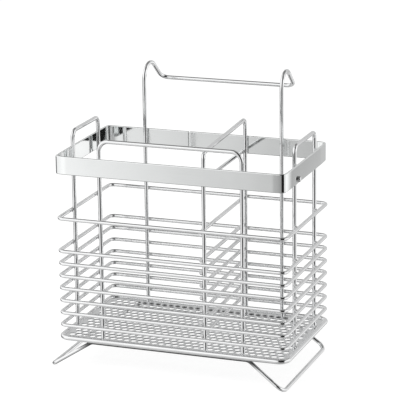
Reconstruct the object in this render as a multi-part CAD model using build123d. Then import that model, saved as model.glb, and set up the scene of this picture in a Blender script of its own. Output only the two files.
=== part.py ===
from build123d import *

import os
from math import floor, radians, sqrt, tan

# A wire drying rack for kitchen utensils. The origin is on the surface that it
# stands on, under the middle of the cage. X runs along the long front, Y goes
# from front to back, and Z is up. All sizes are in millimetres, and every
# "rise" is a height above the centre line of the base frame.

# Cage: closed wire rings on the outside of upright hoops
cage_width = 160.4
cage_depth = 91.4
ring_wire = 2.5
ring_corner = 4.0
ring_pitch = 8.7
ring_rows = 7
top_ring_gap = 22.8
upright_wire = 2.8

# Base frame: a thicker closed wire round the foot of the cage
base_wire = 3.5
base_corner = 6.5

# How far two pieces sink into each other where they are welded
weld_set = 0.1
band_weld_set = 0.05
rail_weld_set = 0.02

# Rim band: a flat strip round the mouth of the cage, and its one visible rivet
band_rise = 114.4
band_height = 12.6
band_thickness = 1.4
band_corner = 4.8
band_left_gap = 1.4
seam_gap = 0.3
seam_x = -19.5
rivet_shank = 1.8
rivet_head = 3.8
rivet_head_height = 1.8
rivet_round = 1.2
rivet_above_edge = 3.0

# Upright hoops, bent from round wire
hoop_rise = 138.8
front_hoop_width = 100.0
front_hoop_corner = 7.0
side_hoop_width = 43.2
side_hoop_corner = 4.5
left_hoop_shift = -1.0
right_hoop_shift = 3.3

# Divider: a hoop from front to back, with straight wires on the left of its legs
divider_front_x = 23.5
divider_back_x = 22.2
divider_front_rise = 136.4
divider_back_rise = 139.3
divider_corner = 4.5
cross_wire = 2.5
cross_above_ring = 2.4
cross_overhang = 0.2
tie_overhang = 1.2
lower_tie_rise = 82.6
upper_tie_rise = 115.8

# Hanger: one bent wire that hooks backwards over a rail or a panel
hanger_wire = 2.8
hanger_width = 100.2
hanger_shift = -1.5
hanger_rise = 172.0
hanger_arch = 10.3
hanger_reach = 30.7
hanger_slope = 41.3
hanger_taper = 1.0
hanger_corner = 5.6

# Stand: one closed wire whose two ends splay down and out into floor bars. Its
# rails lie against the lower inner side of the base frame.
stand_wire = 2.5
stand_drop = 20.9
stand_rail_left = 58.6
stand_rail_right = 54.0
stand_rail_inset = 2.0
stand_bar_left = 87.9
stand_bar_right = 78.8
stand_corner = 5.5

# Floor: a thin sheet with rows of round holes, every second row half a pitch on
sheet_thickness = 1.0
hole_size = 3.6
hole_pitch = 5.0
row_pitch = 5.15
sheet_margin = 1.8

# Levels and planes that follow from the sizes above
base_level = stand_wire / 2 + stand_drop
ring_rises = [ring_pitch * row for row in range(1, ring_rows + 1)]
top_ring_rise = ring_rises[-1] + top_ring_gap
upright_offset = (ring_wire + upright_wire) / 2 - weld_set
upright_x = cage_width / 2 - upright_offset
upright_y = cage_depth / 2 - upright_offset
base_offset = (upright_wire + base_wire) / 2 - weld_set
base_x = upright_x + base_offset
base_y = upright_y + base_offset
sheet_top = base_level + sheet_thickness / 2


def bent_wire(path, wire):
    """A round wire of the given thickness, swept along its bent centre line."""
    section = Plane(origin=path @ 0, z_dir=path % 0) * Circle(wire / 2)
    return sweep(section, path=path)


def closed_frame(half_x, half_y, rise, corner, wire):
    """A level rectangle of round wire with rounded corners, closed on itself."""
    level = base_level + rise
    turns = [(-half_x, -half_y), (half_x, -half_y), (half_x, half_y), (-half_x, half_y)]
    path = FilletPolyline(*[(x, y, level) for x, y in turns], radius=corner, close=True)
    return bent_wire(path, wire)


def hoop(foot_a, foot_b, rise_a, rise_b, corner):
    """An upside-down U of upright wire whose two legs end on the floor sheet."""
    points = [
        (*foot_a, sheet_top),
        (*foot_a, base_level + rise_a),
        (*foot_b, base_level + rise_b),
        (*foot_b, sheet_top),
    ]
    return bent_wire(FilletPolyline(*points, radius=corner), upright_wire)


def side_hoop(x, shift):
    """One of the two hoops in the short end walls."""
    front = (x, shift - side_hoop_width / 2)
    back = (x, shift + side_hoop_width / 2)
    return hoop(front, back, hoop_rise, hoop_rise, side_hoop_corner)


def front_hoop():
    """The wide hoop inside the front wall."""
    left = (-front_hoop_width / 2, -upright_y)
    right = (front_hoop_width / 2, -upright_y)
    return hoop(left, right, hoop_rise, hoop_rise, front_hoop_corner)


def divider_hoop():
    """The hoop that stands across the cage, from the front wall to the back wall."""
    front = (divider_front_x, -upright_y)
    back = (divider_back_x, upright_y)
    return hoop(front, back, divider_front_rise, divider_back_rise, divider_corner)


def cross_bar(rise, overhang):
    """A straight level wire of the divider, welded on the left of the hoop's legs."""
    offset = (upright_wire + cross_wire) / 2 - weld_set
    front = Vector(divider_front_x - offset, -upright_y, base_level + rise)
    back = Vector(divider_back_x - offset, upright_y, base_level + rise)
    along = (back - front).normalized()
    start = front - along * overhang
    length = (back - front).length + 2 * overhang
    return extrude(Plane(origin=start, z_dir=along) * Circle(cross_wire / 2), amount=length)


def band_and_rivet():
    """The flat strip, closed round the cage with its ends meeting at the back, and
    the rivet that fills a hole in it on the front leg of the right hoop. The strip
    lies on all the uprights but those of the left hoop, which it clears."""
    inner_left = upright_x + upright_wire / 2 + band_left_gap
    inner_x = upright_x + upright_wire / 2 - band_weld_set
    inner_y = upright_y + upright_wire / 2 - band_weld_set
    outer_x = inner_x + band_thickness
    band_level = base_level + band_rise
    mouth_size = (inner_left + inner_x, 2 * inner_y)
    mouth = RectangleRounded(*mouth_size, band_corner - band_thickness)
    outline_size = [size + 2 * band_thickness for size in mouth_size]
    outline = RectangleRounded(*outline_size, band_corner)
    strip_place = Pos((inner_x - inner_left) / 2, 0, band_level)
    strip = extrude(strip_place * (outline - mouth), amount=band_height)
    seam_place = Pos(seam_x, inner_y + band_thickness / 2, band_level + band_height / 2)
    seam = seam_place * Box(seam_gap, 2 * band_thickness, 2 * band_height)
    rivet_y = right_hoop_shift - side_hoop_width / 2
    rivet_level = band_level + rivet_above_edge
    shank_start = (upright_x + upright_wire / 2, rivet_y, rivet_level)
    shank_length = outer_x - shank_start[0]
    shank = extrude(Plane(origin=shank_start, z_dir=(1, 0, 0)) * Circle(rivet_shank / 2), shank_length)
    hole_start = (inner_x - band_thickness, rivet_y, rivet_level)
    hole_section = Plane(origin=hole_start, z_dir=(1, 0, 0)) * Circle(rivet_shank / 2)
    hole = extrude(hole_section, 3 * band_thickness)
    head_plane = Plane(origin=(outer_x, rivet_y, rivet_level), z_dir=(1, 0, 0))
    head = extrude(head_plane * Circle(rivet_head / 2), rivet_head_height)
    head = fillet(head.edges().sort_by(Axis.X)[-1], rivet_round)
    return strip - seam - hole, shank + head


def hanger():
    """Two legs inside the back wall that arch over backwards and join in a bar, a
    little narrower than the legs stand apart."""
    left = hanger_shift - hanger_width / 2
    right = hanger_shift + hanger_width / 2
    leg_y = cage_depth / 2 - (ring_wire + hanger_wire) / 2 + weld_set
    bar_y = leg_y + hanger_reach
    arch_turn = 90 + hanger_slope
    # The legs and the slopes would meet here if the arch between them were a point
    peak = base_level + hanger_rise - hanger_arch + hanger_arch * tan(radians(arch_turn / 2))
    bar_level = peak - hanger_reach * tan(radians(hanger_slope))
    points = [
        (left, leg_y, sheet_top),
        (left, leg_y, peak),
        (left + hanger_taper, bar_y, bar_level),
        (right - hanger_taper, bar_y, bar_level),
        (right, leg_y, peak),
        (right, leg_y, sheet_top),
    ]
    radii = [hanger_arch, hanger_corner, hanger_corner, hanger_arch]
    return bent_wire(FilletPolyline(*points, radius=radii), hanger_wire)


def stand():
    """The closed wire under the base frame: a rail along the front and the back,
    and at each end two sloping legs joined by a bar on the floor."""
    rail_offset = (base_wire + stand_wire) / 2 - rail_weld_set
    rail_level = base_level - sqrt(rail_offset**2 - stand_rail_inset**2)
    rail_y = base_y - stand_rail_inset
    bar_level = stand_wire / 2
    profile = [
        (-stand_bar_left, base_y, bar_level),
        (-stand_rail_left, rail_y, rail_level),
        (stand_rail_right, rail_y, rail_level),
        (stand_bar_right, base_y, bar_level),
    ]
    front = [(x, -y, z) for x, y, z in profile]
    back = [(x, y, z) for x, y, z in reversed(profile)]
    return bent_wire(FilletPolyline(*front, *back, radius=stand_corner, close=True), stand_wire)


def floor_sheet():
    """The perforated sheet whose edge is let into the inner side of the base frame."""
    half_x = base_x - base_wire / 2 + weld_set
    half_y = base_y - base_wire / 2 + weld_set
    outline = RectangleRounded(2 * half_x, 2 * half_y, base_corner - base_wire / 2)
    reach_x = half_x - sheet_margin - hole_size / 2
    reach_y = half_y - sheet_margin - hole_size / 2
    rows = floor(2 * reach_y / row_pitch) + 1
    holes = []
    for row in range(rows):
        span = reach_x - (hole_pitch / 2 if row % 2 else 0)
        count = 2 * floor(span / hole_pitch) + 1 + row % 2
        y = (row - (rows - 1) / 2) * row_pitch
        for column in range(count):
            x = (column - (count - 1) / 2) * hole_pitch
            holes.append((Pos(x, y) * Circle(hole_size / 2)).wire())
    pierced = Face(outline.wire(), holes)
    print("floor holes", len(holes))
    return extrude(Pos(0, 0, sheet_top) * pierced, amount=-sheet_thickness)


pieces = {
    "base_frame": closed_frame(base_x, base_y, 0, base_corner, base_wire),
    "floor_sheet": floor_sheet(),
    "stand_wire": stand(),
    "front_hoop": front_hoop(),
    "left_hoop": side_hoop(-upright_x, left_hoop_shift),
    "right_hoop": side_hoop(upright_x, right_hoop_shift),
    "divider_hoop": divider_hoop(),
    "hanger_hook": hanger(),
}
for number, rise in enumerate([*ring_rises, top_ring_rise], start=1):
    ring = closed_frame(cage_width / 2, cage_depth / 2, rise, ring_corner, ring_wire)
    pieces[f"side_ring_{number}"] = ring
for number, rise in enumerate(ring_rises, start=1):
    pieces[f"divider_wire_{number}"] = cross_bar(rise + cross_above_ring, cross_overhang)
for number, rise in enumerate([lower_tie_rise, upper_tie_rise], start=1):
    pieces[f"divider_tie_{number}"] = cross_bar(rise, tie_overhang)
pieces["rim_band"], pieces["band_rivet"] = band_and_rivet()

os.makedirs("parts", exist_ok=True)
for name, piece in pieces.items():
    export_step(piece, f"parts/{name}.step")
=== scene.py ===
import bmesh
import bpy
from math import hypot, pi, radians
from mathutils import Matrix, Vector


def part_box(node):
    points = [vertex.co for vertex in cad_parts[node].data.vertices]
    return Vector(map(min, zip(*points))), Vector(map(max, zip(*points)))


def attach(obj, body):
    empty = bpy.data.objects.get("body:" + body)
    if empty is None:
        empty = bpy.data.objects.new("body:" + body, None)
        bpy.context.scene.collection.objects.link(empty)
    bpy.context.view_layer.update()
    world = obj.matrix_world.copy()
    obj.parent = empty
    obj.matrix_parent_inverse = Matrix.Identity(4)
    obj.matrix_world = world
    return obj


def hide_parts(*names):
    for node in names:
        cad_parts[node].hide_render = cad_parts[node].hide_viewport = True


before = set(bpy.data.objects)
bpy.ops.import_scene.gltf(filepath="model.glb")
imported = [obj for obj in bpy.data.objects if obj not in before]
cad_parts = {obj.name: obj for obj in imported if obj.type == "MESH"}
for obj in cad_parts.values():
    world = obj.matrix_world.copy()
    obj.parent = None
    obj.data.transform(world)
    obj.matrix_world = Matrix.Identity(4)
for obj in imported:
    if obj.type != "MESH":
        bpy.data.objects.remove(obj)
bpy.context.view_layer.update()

# The stand: one closed wire of polished steel. Its two rails are welded along the lower
# inner side of the base frame, and its ends are bent down and out into floor bars.
MM = 0.001
wire_colour = (0.93, 0.935, 0.94)
walls_from = 43 * MM  # farther than this from the middle, a level wire runs along X
line_length = 30 * MM
line_width = 0.35 * MM
line_relief = 0.02 * MM
line_range = (0.3, 0.7)
patches_per_metre = 70
patch_range = (0.42, 0.72)
wear_range = (0.2, 1.6)
roughness_range = (0.75, 1.7)  # shares of the roughness where the steel is least and most worn
# Painted shade on the stand: from these heights up, the rails and the tops of the legs are darkened
legs_bright_to = 14 * MM
rails_shade_from = 18.6 * MM
rails_shade_brightness = 0.14


def add_node(tree, kind, inputs=(), **settings):
    """A shader node with its settings and with its inputs set or linked."""
    made = tree.nodes.new(kind)
    for name, value in settings.items():
        setattr(made, name, value)
    for socket, value in dict(inputs).items():
        if isinstance(value, bpy.types.NodeSocket):
            tree.links.new(value, made.inputs[socket])
        else:
            made.inputs[socket].default_value = value
    return made


def maths(tree, operation, *values):
    """The result of one operation on numbers and on other nodes' results."""
    return add_node(tree, "ShaderNodeMath", dict(enumerate(values)), operation=operation).outputs[0]


def remapped(tree, value, start, end, at_start=0, at_end=1):
    """What a value becomes as it goes from start to end, held at both ends."""
    inputs = {"Value": value, "From Min": start, "From Max": end, "To Min": at_start, "To Max": at_end}
    return add_node(tree, "ShaderNodeMapRange", inputs).outputs[0]


def mixed(tree, kind, factor, a, b):
    """A mix of two vectors or colours. The node has separate sockets for each kind."""
    socket, result = {"VECTOR": (4, 1), "RGBA": (6, 2)}[kind]
    inputs = {0: factor, socket: a, socket + 1: b}
    return add_node(tree, "ShaderNodeMix", inputs, data_type=kind).outputs[result]


def noise(tree, place, scale, detail):
    """Soft random levels between 0 and 1."""
    inputs = {"Vector": place, "Scale": scale, "Detail": detail}
    return add_node(tree, "ShaderNodeTexNoise", inputs).outputs["Fac"]


def darkened(tree, colour, share):
    """A colour at a share of its brightness."""
    inputs = {0: colour, "Scale": share}
    return add_node(tree, "ShaderNodeVectorMath", inputs, operation="SCALE").outputs[0]


def place_in(tree):
    """The place on the piece that is looked at."""
    return add_node(tree, "ShaderNodeTexCoord").outputs["Object"]


def parts_of(tree, place):
    """The X, Y and Z of a place or a direction."""
    return add_node(tree, "ShaderNodeSeparateXYZ", {0: place}).outputs


def shader_group(name, sockets_in, sockets_out):
    """An empty node group with named inputs and outputs."""
    group = bpy.data.node_groups.new(name, "ShaderNodeTree")
    for side, sockets in (("INPUT", sockets_in), ("OUTPUT", sockets_out)):
        for socket, kind in sockets.items():
            group.interface.new_socket(socket, in_out=side, socket_type="NodeSocket" + kind)
    given = group.nodes.new("NodeGroupInput").outputs
    result = group.nodes.new("NodeGroupOutput").inputs
    return group, given, result


# Polish over drawn or rolled steel: long fine lines, and faint cloudy patches
polish_takes = {
    "Along": "Vector",
    "Place": "Vector",
    "Colour": "Color",
    "Roughness": "Float",
    "Depth": "Float",
    "Streaks": "Float",
}
polish_gives = {"Colour": "Color", "Roughness": "Float", "Normal": "Vector"}
polish, given, polish_result = shader_group("polished_steel", polish_takes, polish_gives)
lines = noise(polish, given["Along"], scale=1, detail=2)
clouds = noise(polish, given["Place"], scale=patches_per_metre, detail=3)
patches = remapped(polish, clouds, *patch_range)
darkest = maths(polish, "SUBTRACT", 1, given["Streaks"])
line_shade = remapped(polish, lines, *line_range, darkest, 1)
patch_shade = remapped(polish, patches, 0, 1, 1, darkest)
shade = maths(polish, "MULTIPLY", line_shade, patch_shade)
wear = remapped(polish, maths(polish, "ADD", lines, patches), *wear_range, *roughness_range)
rough = maths(polish, "MULTIPLY", given["Roughness"], wear)
relief = {"Height": lines, "Strength": given["Depth"], "Distance": line_relief}
bump = add_node(polish, "ShaderNodeBump", relief).outputs["Normal"]
polish.links.new(darkened(polish, given["Colour"], shade), polish_result["Colour"])
polish.links.new(rough, polish_result["Roughness"])
polish.links.new(bump, polish_result["Normal"])


def steel(
    name, runs, split="Y", level=walls_from, colour=wire_colour, roughness=0.08, depth=0.15, streaks=0.05
):
    """Polished steel whose fine lines follow its runs: runs[0] where the place along the
    split axis is within the level, and runs[1] beyond it."""
    material = bpy.data.materials.new(name)
    material.use_nodes = True
    tree = material.node_tree
    shader = tree.nodes["Principled BSDF"]
    shader.inputs["Metallic"].default_value = 1
    place = place_in(tree)
    reach = maths(tree, "ABSOLUTE", parts_of(tree, place)[split])
    beyond = maths(tree, "GREATER_THAN", reach, level)
    stretched = []
    for run in runs:
        scale = [1 / (line_length if axis == run else line_width) for axis in "XYZ"]
        mapping = add_node(tree, "ShaderNodeMapping", {"Vector": place, "Scale": scale})
        stretched.append(mapping.outputs[0])
    along = mixed(tree, "VECTOR", beyond, *stretched)
    finish = {
        "Along": along,
        "Place": place,
        "Colour": (*colour, 1),
        "Roughness": roughness,
        "Depth": depth,
        "Streaks": streaks,
    }
    polished = add_node(tree, "ShaderNodeGroup", finish, node_tree=polish).outputs
    tree.links.new(polished["Colour"], shader.inputs["Base Color"])
    tree.links.new(polished["Roughness"], shader.inputs["Roughness"])
    tree.links.new(polished["Normal"], shader.inputs["Normal"])
    return material


def paint_shade(material, reach, start, end, least):
    """Paints shade into a finish: darkens it as its reach goes from start to end."""
    tree = material.node_tree
    base_colour = tree.nodes["Principled BSDF"].inputs["Base Color"]
    share = remapped(tree, reach, start, end, 1, least)
    tree.links.new(darkened(tree, base_colour.links[0].from_socket, share), base_colour)


def dress(material, *names):
    """Gives CAD nodes their finish."""
    for name in names:
        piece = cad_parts[name]
        piece.data.materials.clear()
        piece.data.materials.append(material)


stand_steel = steel("stand_steel", "YX")
tree = stand_steel.node_tree
height = parts_of(tree, place_in(tree))["Z"]
# Painted shade: the steel darkens from the legs up to the rails, which sit under the base frame
paint_shade(stand_steel, height, legs_bright_to, rails_shade_from, rails_shade_brightness)
dress(stand_steel, "stand_wire")

# The base frame: a thicker closed wire of the same steel round the foot of the cage.
# The floor sheet is let into its inner side, and the uprights stand against it.
dress(steel("base_steel", "YX", roughness=0.09), "base_frame")

# The floor: a bright steel sheet pierced with rows of round holes, every second row
# half a pitch on. The press leaves the strands between the holes softly rounded.
hole_size = 3.6 * MM
hole_pitch = 5.0 * MM
row_pitch = 5.15 * MM
row_pairs = 8
wide_row = 31
hole_sides = 12
cell_faces = (4, 2)  # a cell's outline then has as many corners as a hole
lip_rings = [(1.97 * MM, 0.16 * MM), (2.32 * MM, 0.16 * MM)]  # radius and rise of each ring
lip_drop = 0.38 * MM
skin = 0.25 * MM
near = 0.01 * MM  # places no farther apart than this are the same place


def take(piece):
    """Selects one piece alone, as the one that operators work on."""
    bpy.ops.object.select_all(action="DESELECT")
    piece.select_set(True)
    bpy.context.view_layer.objects.active = piece


def edit(piece):
    """Opens a piece in edit mode with nothing in it selected."""
    take(piece)
    bpy.ops.object.mode_set(mode="EDIT")
    bpy.ops.mesh.select_all(action="DESELECT")


def leave_edit():
    bpy.ops.object.mode_set(mode="OBJECT")


def pick(piece, wanted):
    """In edit mode, selects just the vertices whose place is wanted."""
    bpy.ops.mesh.select_mode(type="VERT")
    bpy.ops.mesh.select_all(action="DESELECT")
    mesh = bmesh.from_edit_mesh(piece.data)
    for vertex in mesh.verts:
        vertex.select_set(bool(wanted(vertex.co)))
    mesh.select_flush(True)
    bmesh.update_edit_mesh(piece.data)


def extrude(x=0, y=0, z=0):
    """In edit mode, extrudes what is selected and moves it."""
    bpy.ops.mesh.extrude_region_move(TRANSFORM_OT_translate={"value": (x, y, z)})


def turn_faces_out():
    """In edit mode, makes all faces point the same way, outwards where they close."""
    bpy.ops.mesh.select_all(action="SELECT")
    bpy.ops.mesh.normals_make_consistent(inside=False)


def turn_inside_out(piece):
    edit(piece)
    bpy.ops.mesh.select_all(action="SELECT")
    bpy.ops.mesh.flip_normals()
    leave_edit()


def settle():
    """Puts the active piece's place, turn and size into its mesh."""
    bpy.ops.object.transform_apply(location=True, rotation=True, scale=True)


def grid(name, centre, size, faces):
    """A flat grid of faces at its size and place."""
    bpy.ops.object.select_all(action="DESELECT")
    columns, rows = faces
    bpy.ops.mesh.primitive_grid_add(x_subdivisions=columns, y_subdivisions=rows, size=1, location=centre)
    made = bpy.context.object
    made.name = name
    made.scale = (*size, 1)
    settle()
    return made


def modify(piece, kind, **settings):
    """Applies a modifier with its settings."""
    take(piece)
    bpy.ops.object.modifier_add(type=kind)
    modifier = piece.modifiers[-1]
    for name, value in settings.items():
        setattr(modifier, name, value)
    bpy.ops.object.modifier_apply(modifier=modifier.name)


def repeat(piece, count, step):
    """Repeats a piece at a step, with the copies merged where they meet."""
    offset = {"use_relative_offset": False, "use_constant_offset": True, "constant_offset_displace": step}
    modify(piece, "ARRAY", count=count, **offset, use_merge_vertices=True, merge_threshold=near)


def join(*pieces):
    take(pieces[0])
    for piece in pieces:
        piece.select_set(True)
    bpy.ops.object.join()
    return pieces[0]


def copy_of(piece, shift):
    """A copy with its own mesh, moved in the mesh."""
    take(piece)
    bpy.ops.object.duplicate()
    made = bpy.context.object
    made.location = shift
    settle()
    return made


def smooth(piece, angle):
    take(piece)
    bpy.ops.object.shade_smooth_by_angle(angle=radians(angle))


def finished(piece, name, material, slot, *replaced):
    """Names a finished piece, gives it its material, and rides it on the rack. The slot is not used."""
    piece.name = name
    piece.data.name = name
    piece.data.materials.clear()
    piece.data.materials.append(material)
    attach(piece, "root")
    if replaced:
        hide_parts(*replaced)


sheet_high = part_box("floor_sheet")[1]
first_x = -(wide_row - 1) / 2 * hole_pitch
first_y = -(row_pairs - 0.5) * row_pitch
first = Vector((first_x, first_y, sheet_high.z))  # the middle of the first hole


def from_first(place):
    """How far a place is from the middle of the first hole, across the sheet."""
    return hypot(place.x - first.x, place.y - first.y)


# One hole with its lip, in a cell of its own
cell = grid("floor_cell", first, (hole_pitch, row_pitch), cell_faces)
edit(cell)
pick(cell, lambda place: from_first(place) < hole_size / 2)
bpy.ops.mesh.delete(type="VERT")
ring_radius = hole_size / 2
hole_place = first - Vector((0, 0, lip_drop))
bpy.ops.mesh.primitive_circle_add(vertices=hole_sides, radius=ring_radius, location=hole_place)
for radius, rise in lip_rings:
    extrude(z=rise)
    growth = radius / ring_radius
    bpy.ops.transform.resize(value=(growth, growth, 1), center_override=first)
    ring_radius = radius
pick(cell, lambda place: from_first(place) > ring_radius - near)
bpy.ops.mesh.bridge_edge_loops()
leave_edit()

# Two rows, with half a cell of plain sheet at both ends of the shorter one, make a pair
shifted = copy_of(cell, (hole_pitch / 2, row_pitch, 0))
repeat(cell, wide_row, (hole_pitch, 0, 0))
repeat(shifted, wide_row - 1, (hole_pitch, 0, 0))
half_x = wide_row / 2 * hole_pitch
half_y = row_pairs * row_pitch
end_x = half_x - hole_pitch / 4
end_size = (hole_pitch / 2, row_pitch)
end_faces = (2, 2)
ends = [grid("row_end", (x, first.y + row_pitch, first.z), end_size, end_faces) for x in (-end_x, end_x)]
sheet = join(cell, shifted, *ends)
edit(sheet)
bpy.ops.mesh.select_all(action="SELECT")
bpy.ops.mesh.remove_doubles(threshold=near)
leave_edit()
repeat(sheet, row_pairs, (0, 2 * row_pitch, 0))

# The plain margin reaches out from the rows to the base frame
edit(sheet)
pick(sheet, lambda place: abs(place.x) > half_x - near or abs(place.y) > half_y - near)
extrude()
margin_growth = (sheet_high.x / half_x, sheet_high.y / half_y, 1)
bpy.ops.transform.resize(value=margin_growth, center_override=(0, 0, first.z))
turn_faces_out()
leave_edit()
if sheet.data.polygons[0].normal.z < 0:
    turn_inside_out(sheet)
modify(sheet, "SOLIDIFY", thickness=skin, offset=-1)
smooth(sheet, angle=60)
pierced_steel = steel("pierced_steel", "XX", colour=(0.82, 0.83, 0.835), roughness=0.1, depth=0.1)
finished(sheet, "pierced_floor", pierced_steel, "pierced_sheet", "floor_sheet")

# The uprights: wire hoops whose feet end on the floor sheet, one across the front
# wall, one in each end wall, and one that stands across the cage as its divider.
hoop_turn = 12 * MM  # how far below its top a hoop's legs begin to bend
for name, run in (("front_hoop", "X"), ("left_hoop", "Y"), ("right_hoop", "Y"), ("divider_hoop", "Y")):
    legs_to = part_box(name)[1].z - hoop_turn
    dress(steel(name.replace("hoop", "steel"), "Z" + run, "Z", legs_to), name)

# The divider's wires: straight wires welded on the left of the divider hoop's legs,
# one just over each close ring, and two ties farther up.
close_rings = 7
divider_wires = [f"divider_wire_{number}" for number in range(1, close_rings + 1)]
divider_wires += ["divider_tie_1", "divider_tie_2"]
dress(steel("divider_wire_steel", "YY"), *divider_wires)

# The cage: eight closed rings of polished wire on the outside of the uprights, seven
# close together and one higher up.
ring_count = close_rings + 1
ring_names = [f"side_ring_{number}" for number in range(1, ring_count + 1)]
dress(steel("ring_steel", "YX"), *ring_names)

# The hanger: one bent wire with two legs inside the back wall that arch over into a
# bar, by which the rack hooks on a rail.
hanger_bar_from = 70 * MM  # behind this the wire runs along X
dress(steel("hanger_steel", "ZX", "Y", hanger_bar_from), "hanger_hook")

# The welds: where two wires cross, the steel squeezed out between them is left as a
# small collar. The rack was polished after welding, so they are nearly as bright.
upright_wire = 2.8 * MM
half_weld_set = 0.05 * MM  # half of what two wires sink into each other
bead_reach = 1.6 * MM
bead_sides = 8
bead_layers = [(0.25 * MM, 1.45), (0.5 * MM, 1.0), (0.25 * MM, 0.69)]  # rise and growth of each
bead_height = sum(rise for rise, growth in bead_layers)


def round_plate(sides, radius, place, rotation):
    """A flat disc, as the start of a small round part."""
    bpy.ops.object.select_all(action="DESELECT")
    size = {"vertices": sides, "radius": radius, "fill_type": "NGON"}
    bpy.ops.mesh.primitive_circle_add(**size, location=place, rotation=rotation)
    settle()
    return bpy.context.object


def bead(name, turn):
    """One collar at the origin, turned to lie against its wires."""
    start_radius = bead_reach / bead_layers[0][1]
    made = round_plate(bead_sides, start_radius, (0, 0, -bead_height / 2), (0, 0, pi / bead_sides))
    made.name = name
    edit(made)
    bpy.ops.mesh.select_all(action="SELECT")
    for rise, growth in bead_layers:
        extrude(z=rise)
        bpy.ops.transform.resize(value=(growth, growth, 1), center_override=(0, 0, 0))
    turn_faces_out()
    leave_edit()
    made.rotation_euler = turn
    settle()
    bpy.ops.object.shade_smooth()
    return made


def weld_all(name, model, places, material):
    """Copies one collar to every crossing and joins the copies into one piece."""
    copies = [copy_of(model, place) for place in places]
    welds = join(*copies)
    bpy.data.objects.remove(model)
    finished(welds, name, material, "polished_wire")


def middle(name):
    low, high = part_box(name)
    return (low + high) / 2


def legs(name, axis):
    """Where the two legs of a bent upright stand along X or Y, the lower place first."""
    low, high = (getattr(corner, axis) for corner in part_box(name))
    return low + upright_wire / 2, high - upright_wire / 2


levels = [middle(name).z for name in ["base_frame", *ring_names]]
wall_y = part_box("divider_hoop")[1].y
divider_back_x, divider_front_x = legs("divider_hoop", "x")
front_legs = [*legs("front_hoop", "x"), divider_front_x]
back_legs = [*legs("hanger_hook", "x"), divider_back_x]
wall_crossings = [(x, -wall_y, level) for x in front_legs for level in levels]
wall_crossings += [(x, wall_y, level) for x in back_legs for level in levels]
left_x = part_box("left_hoop")[0].x
right_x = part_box("right_hoop")[1].x
end_crossings = [(left_x, y, level) for y in legs("left_hoop", "y") for level in levels]
end_crossings += [(right_x, y, level) for y in legs("right_hoop", "y") for level in levels]
leg_side = upright_wire / 2 - half_weld_set
leg_y = wall_y - upright_wire / 2
divider_crossings = []
for name in divider_wires:
    for x, y in ((divider_front_x, -leg_y), (divider_back_x, leg_y)):
        divider_crossings.append((x - leg_side, y, middle(name).z))
weld_steel = steel("weld_steel", "ZZ", colour=(0.80, 0.80, 0.80), roughness=0.16, depth=0.3)
facing_y = (pi / 2, 0, 0)
facing_x = (0, pi / 2, 0)
weld_all("wall_welds", bead("wall_bead", facing_y), wall_crossings, weld_steel)
weld_all("end_welds", bead("end_bead", facing_x), end_crossings, weld_steel)
weld_all("divider_welds", bead("divider_bead", facing_x), divider_crossings, weld_steel)

# The rim band: a flat strip of mirror-polished steel bent round the mouth of the cage,
# with softened edges and painted shade along the lower edge of its long walls. Its end walls
# bow in a little towards their corners, and its ends meet in a fine seam at the back.
band_thickness = 1.4 * MM
band_bend = 4.0 * MM  # how far from a corner the end walls begin to bend
front_stretch = 2.3  # the long walls begin to bend this many times farther from it
bend_profile = 0.65  # above 0.5 the bend is tightest at its middle
corner_steps = 24
wall_bow = 0.6 * MM  # the end walls curve in by this much towards their corners
bow_length = 15.7 * MM
wall_cuts = 55
seam_x = -19.5 * MM
seam_gap = 0.3 * MM
edge_softness = 0.6 * MM
edge_steps = 3
lower_edge_shade_brightness = 0.45
band_low, band_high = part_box("rim_band")
band_size = band_high - band_low
half_depth = band_size.y / 2
bend_from = half_depth - band_bend
bow_from = half_depth - bow_length

# A line round the mouth, with its corners bent and its end walls bowed
bpy.ops.object.select_all(action="DESELECT")
band_place = (band_low + band_high) / 2
bpy.ops.mesh.primitive_plane_add(size=1, location=(band_place.x, band_place.y, band_low.z))
band = bpy.context.object
band.scale = (band_size.x, band_size.y, 1)
settle()
edit(band)
bpy.ops.mesh.select_all(action="SELECT")
corners = {"affect": "VERTICES", "offset_type": "OFFSET", "offset": band_bend, "clamp_overlap": False}
bpy.ops.mesh.bevel(**corners, segments=corner_steps, profile=bend_profile)
bpy.ops.mesh.select_all(action="SELECT")
bpy.ops.mesh.delete(type="ONLY_FACE")
for end_x, inward in ((band_low.x, 1), (band_high.x, -1)):
    pick(band, lambda place: abs(place.x - end_x) < near and abs(abs(place.y) - bend_from) < near)
    bpy.ops.mesh.subdivide(number_cuts=wall_cuts)
    pick(band, lambda place: abs(place.x - end_x) < band_bend + near and abs(place.y) > bend_from - near)
    bpy.ops.transform.resize(value=(front_stretch, 1, 1), center_override=(end_x, 0, band_low.z))
    mesh = bmesh.from_edit_mesh(band.data)
    for vertex in mesh.verts:
        if abs(vertex.co.x - end_x) < band_bend * front_stretch + near:
            bow = max(0, abs(vertex.co.y) - bow_from) / bow_length
            vertex.co.x += inward * wall_bow * bow ** 2
    bmesh.update_edit_mesh(band.data)


def in_seam(place):
    return place.y > 0 and abs(place.x - seam_x) < seam_gap


# The wall rises from the line and is cut open at the seam
bpy.ops.mesh.select_all(action="SELECT")
extrude(z=band_size.z)
for cut_x in (seam_x - seam_gap / 2, seam_x + seam_gap / 2):
    pick(band, lambda place: place.y > band_high.y - near)
    bpy.ops.mesh.bisect(plane_co=(cut_x, 0, 0), plane_no=(1, 0, 0))
pick(band, in_seam)
bpy.ops.mesh.delete(type="ONLY_FACE")
bpy.ops.mesh.select_mode(type="EDGE")
mesh = bmesh.from_edit_mesh(band.data)
for line in mesh.edges:
    line.select_set(len(line.link_faces) == 0)
bmesh.update_edit_mesh(band.data)
bpy.ops.mesh.delete(type="EDGE")
turn_faces_out()
leave_edit()
front_face = min(band.data.polygons, key=lambda face: face.center.y)
if front_face.normal.y > 0:
    turn_inside_out(band)

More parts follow.
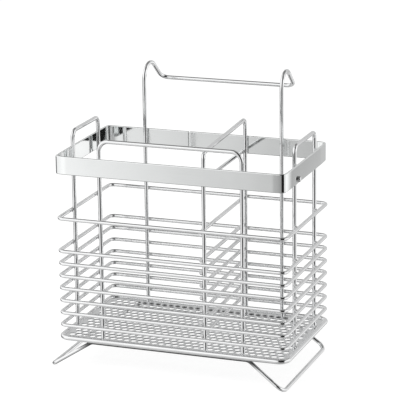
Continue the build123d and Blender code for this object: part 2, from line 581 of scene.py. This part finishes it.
# The wall gets its thickness inwards, and then its soft edges
modify(band, "SOLIDIFY", thickness=band_thickness, offset=-1, use_even_offset=True)
soft_edge = {"width": edge_softness, "segments": edge_steps, "use_clamp_overlap": False}
modify(band, "BEVEL", **soft_edge, limit_method="ANGLE", angle_limit=radians(40))
smooth(band, angle=30)
modify(band, "WEIGHTED_NORMAL", weight=100)
strip_colour = (0.925, 0.94, 0.937)
strip_steel = steel("strip_steel", "YX", colour=strip_colour, roughness=0.06, depth=0.05, streaks=0.02)
tree = strip_steel.node_tree
parts = parts_of(tree, place_in(tree))
# Painted shade: a dark line along the lower edge of the long walls
below_softness = maths(tree, "SUBTRACT", band_low.z + edge_softness, parts["Z"])
aside = maths(tree, "ABSOLUTE", parts["Y"])
in_long_wall = maths(tree, "GREATER_THAN", aside, half_depth - 2 * band_thickness)
shaded_lower_edge = maths(tree, "MULTIPLY", below_softness, in_long_wall)
paint_shade(strip_steel, shaded_lower_edge, 0, edge_softness / 2, lower_edge_shade_brightness)
finished(band, "rim_strip", strip_steel, "rim_strip", "rim_band")

# The rivet: a small round head, nearly flat on top and less polished than the strip, on
# the band's right face. Its shank goes into the front leg of the right hoop and holds
# the strip's end wall to it.
head_sides = 24
# Each layer's rise and radius, and where the painted shade on the rim starts, are shares of the head's
# own
head_layers = [(0.42, 1.0), (0.66, 0.95), (0.84, 0.84), (0.94, 0.68), (1.0, 0.42), (0.99, 0.2)]
head_shade_from = 0.8
head_rim_shade_brightness = 0.5
rivet_low, rivet_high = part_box("band_rivet")
rivet_rise = rivet_high.x - band_high.x
head_radius = (rivet_high.y - rivet_low.y) / 2
rivet_middle = middle("band_rivet")
rivet_place = Vector((band_high.x, rivet_middle.y, rivet_middle.z))
rivet = round_plate(head_sides, head_radius, rivet_place, facing_x)
edit(rivet)
bpy.ops.mesh.select_all(action="SELECT")
height, width = 0, 1
for next_height, next_width in head_layers:
    extrude(x=(next_height - height) * rivet_rise)
    growth = next_width / width
    bpy.ops.transform.resize(value=(1, growth, growth), center_override=rivet_place)
    height, width = next_height, next_width
turn_faces_out()
leave_edit()
smooth(rivet, angle=35)
rivet_steel = steel("rivet_steel", "ZZ", colour=(0.9, 0.9, 0.9), roughness=0.3, depth=0.1)
tree = rivet_steel.node_tree
parts = parts_of(tree, place_in(tree))
across = maths(tree, "SUBTRACT", parts["Y"], rivet_place.y)
up = maths(tree, "SUBTRACT", parts["Z"], rivet_place.z)
squares = [maths(tree, "MULTIPLY", distance, distance) for distance in (across, up)]
reach = maths(tree, "SQRT", maths(tree, "ADD", *squares))
# Painted shade: the head darkens towards its rim, where it sits against the strip
paint_shade(rivet_steel, reach, head_shade_from * head_radius, head_radius, head_rim_shade_brightness)
finished(rivet, "rivet_head", rivet_steel, "rim_strip", "band_rivet")

# The studio: a plain white floor that keeps a soft shadow, pale light all round with
# the darker flags that polished steel needs for its edges, and one soft lamp.
floor_width = 14
floor_paint_white = 0.3
floor_glow = 0.85
reflected_strength = 1.12
fill_strength = 0.6
overhead_grey = 0.2
ground_grey = 0.54
underneath_grey = 0.05
lamp_place = Vector((-0.6, -0.9, 1.3))
lamp_aim = Vector((0, 0, 0.1))
lamp_power = 12
lamp_width = 1.0


def grey(value):
    return (value, value, value, 1)


bpy.ops.mesh.primitive_plane_add(size=floor_width)
studio_floor = bpy.context.object
studio_floor.name = "studio_floor"
studio_floor.visible_glossy = False
paint = bpy.data.materials.new("floor_paint")
paint.use_nodes = True
tree = paint.node_tree
tree.nodes.clear()
matt = add_node(tree, "ShaderNodeBsdfDiffuse", {"Color": grey(floor_paint_white)})
seen_directly = add_node(tree, "ShaderNodeLightPath").outputs["Is Camera Ray"]
glow_strength = maths(tree, "MULTIPLY", seen_directly, floor_glow)
glow = add_node(tree, "ShaderNodeEmission", {"Strength": glow_strength})
both = add_node(tree, "ShaderNodeAddShader", {0: matt.outputs[0], 1: glow.outputs[0]})
add_node(tree, "ShaderNodeOutputMaterial", {"Surface": both.outputs[0]})
studio_floor.data.materials.append(paint)

world = bpy.data.worlds.new("studio")
bpy.context.scene.world = world
world.use_nodes = True
sky = world.node_tree
sky.nodes.clear()


def shades(angle, stops):
    """Brightness by direction: angles in degrees, each with its brightness."""
    made = add_node(sky, "ShaderNodeValToRGB", {0: remapped(sky, angle, -180, 180)})
    elements = made.color_ramp.elements
    for index, (at, value) in enumerate(stops):
        position = (at + 180) / 360
        stop = elements[index] if index < 2 else elements.new(position)
        stop.position = position
        stop.color = grey(value)
    return made.outputs["Color"]


direction = add_node(sky, "ShaderNodeTexCoord").outputs["Generated"]
x, y, z = parts_of(sky, direction)
frontward = maths(sky, "MULTIPLY", y, -1)
azimuth = maths(sky, "DEGREES", maths(sky, "ARCTAN2", x, frontward))
elevation = maths(sky, "DEGREES", maths(sky, "ARCSINE", z))
low_belt = shades(azimuth, [
    (-180, 0.5), (-165, 0.4), (-155, 0.2), (-80, 0.2), (-72, 0.85), (-45, 0.88), (-28, 0.97),
    (-26, 0.97), (-24.3, 0.89), (-23.9, 0.83), (-22.5, 0.74), (-21.7, 0.655), (-20.4, 0.635),
    (-18.8, 0.58), (-17.5, 0.42), (6, 0.32), (17, 0.27), (20.6, 0.01), (63, 0.01), (66.5, 0.7),
    (90, 0.74), (132, 0.84), (148, 0.98), (155.5, 0.98), (160.5, 0.38), (162.4, 0.37),
    (163, 0.5), (180, 0.5),
])
high_belt = shades(azimuth, [
    (-180, 0.54), (-150, 0.56), (-120, 0.7), (-100, 0.95), (-25, 1.0), (-2, 0.9), (6, 0.3),
    (10, 0.01), (62, 0.01), (66, 1.0), (120, 1.0), (145, 0.6), (180, 0.54),
])
upper_belt = shades(azimuth, [
    (-180, 0.14), (-130, 0.14), (-105, 0.85), (-25, 1.0), (-4, 0.8), (6, 0.02), (90, 0.02),
    (98, 0.7), (140, 0.3), (180, 0.2),
])

# Each zone comes in between two elevations, in degrees
over_horizon = remapped(sky, elevation, -4, 4)
well_up = remapped(sky, elevation, 30, 38)
overhead = remapped(sky, elevation, 57, 63)
low_down = remapped(sky, elevation, -26, -36)
straight_down = remapped(sky, elevation, -66, -72)
sides = mixed(sky, "RGBA", well_up, high_belt, upper_belt)
above = mixed(sky, "RGBA", overhead, sides, grey(overhead_grey))
ground = mixed(sky, "RGBA", straight_down, grey(ground_grey), grey(underneath_grey))
below = mixed(sky, "RGBA", low_down, low_belt, ground)
flags = mixed(sky, "RGBA", over_horizon, below, above)
reflected = add_node(sky, "ShaderNodeBackground", {"Color": flags, "Strength": reflected_strength})
fill_light = add_node(sky, "ShaderNodeBackground", {"Color": grey(1), "Strength": fill_strength})
white = add_node(sky, "ShaderNodeBackground", {"Color": grey(1)})
rays = add_node(sky, "ShaderNodeLightPath").outputs
by_gloss = {0: rays["Is Glossy Ray"], 1: fill_light.outputs[0], 2: reflected.outputs[0]}
unseen = add_node(sky, "ShaderNodeMixShader", by_gloss)
by_sight = {0: rays["Is Camera Ray"], 1: unseen.outputs[0], 2: white.outputs[0]}
all_round = add_node(sky, "ShaderNodeMixShader", by_sight)
add_node(sky, "ShaderNodeOutputWorld", {"Surface": all_round.outputs[0]})

bpy.ops.object.light_add(type="AREA", location=lamp_place)
lamp = bpy.context.object
lamp.name = "soft_lamp"
lamp.data.energy = lamp_power
lamp.data.size = lamp_width
lamp.visible_glossy = False
lamp.rotation_euler = (lamp_aim - lamp_place).to_track_quat("-Z", "Y").to_euler()

# The view: a long lens, a little above the rim, that sees the long front and the
# right end of the rack. It is turned slightly clockwise about its own line of sight.
camera_azimuth = radians(20.592)
camera_elevation = radians(15.705)
camera_turn = -0.0129  # radians
camera_place = Vector((495.0, -1304.9, 505.8)) * MM
sensor_width = 36.0
lens_length = 193.2
bpy.ops.object.camera_add(location=camera_place, rotation=(pi / 2 - camera_elevation, 0, camera_azimuth))
camera = bpy.context.object
camera.rotation_euler.rotate_axis("Z", camera_turn)
camera.data.sensor_width = sensor_width
camera.data.lens = lens_length
bpy.context.scene.camera = camera
bpy.context.scene.view_settings.view_transform = "Standard"
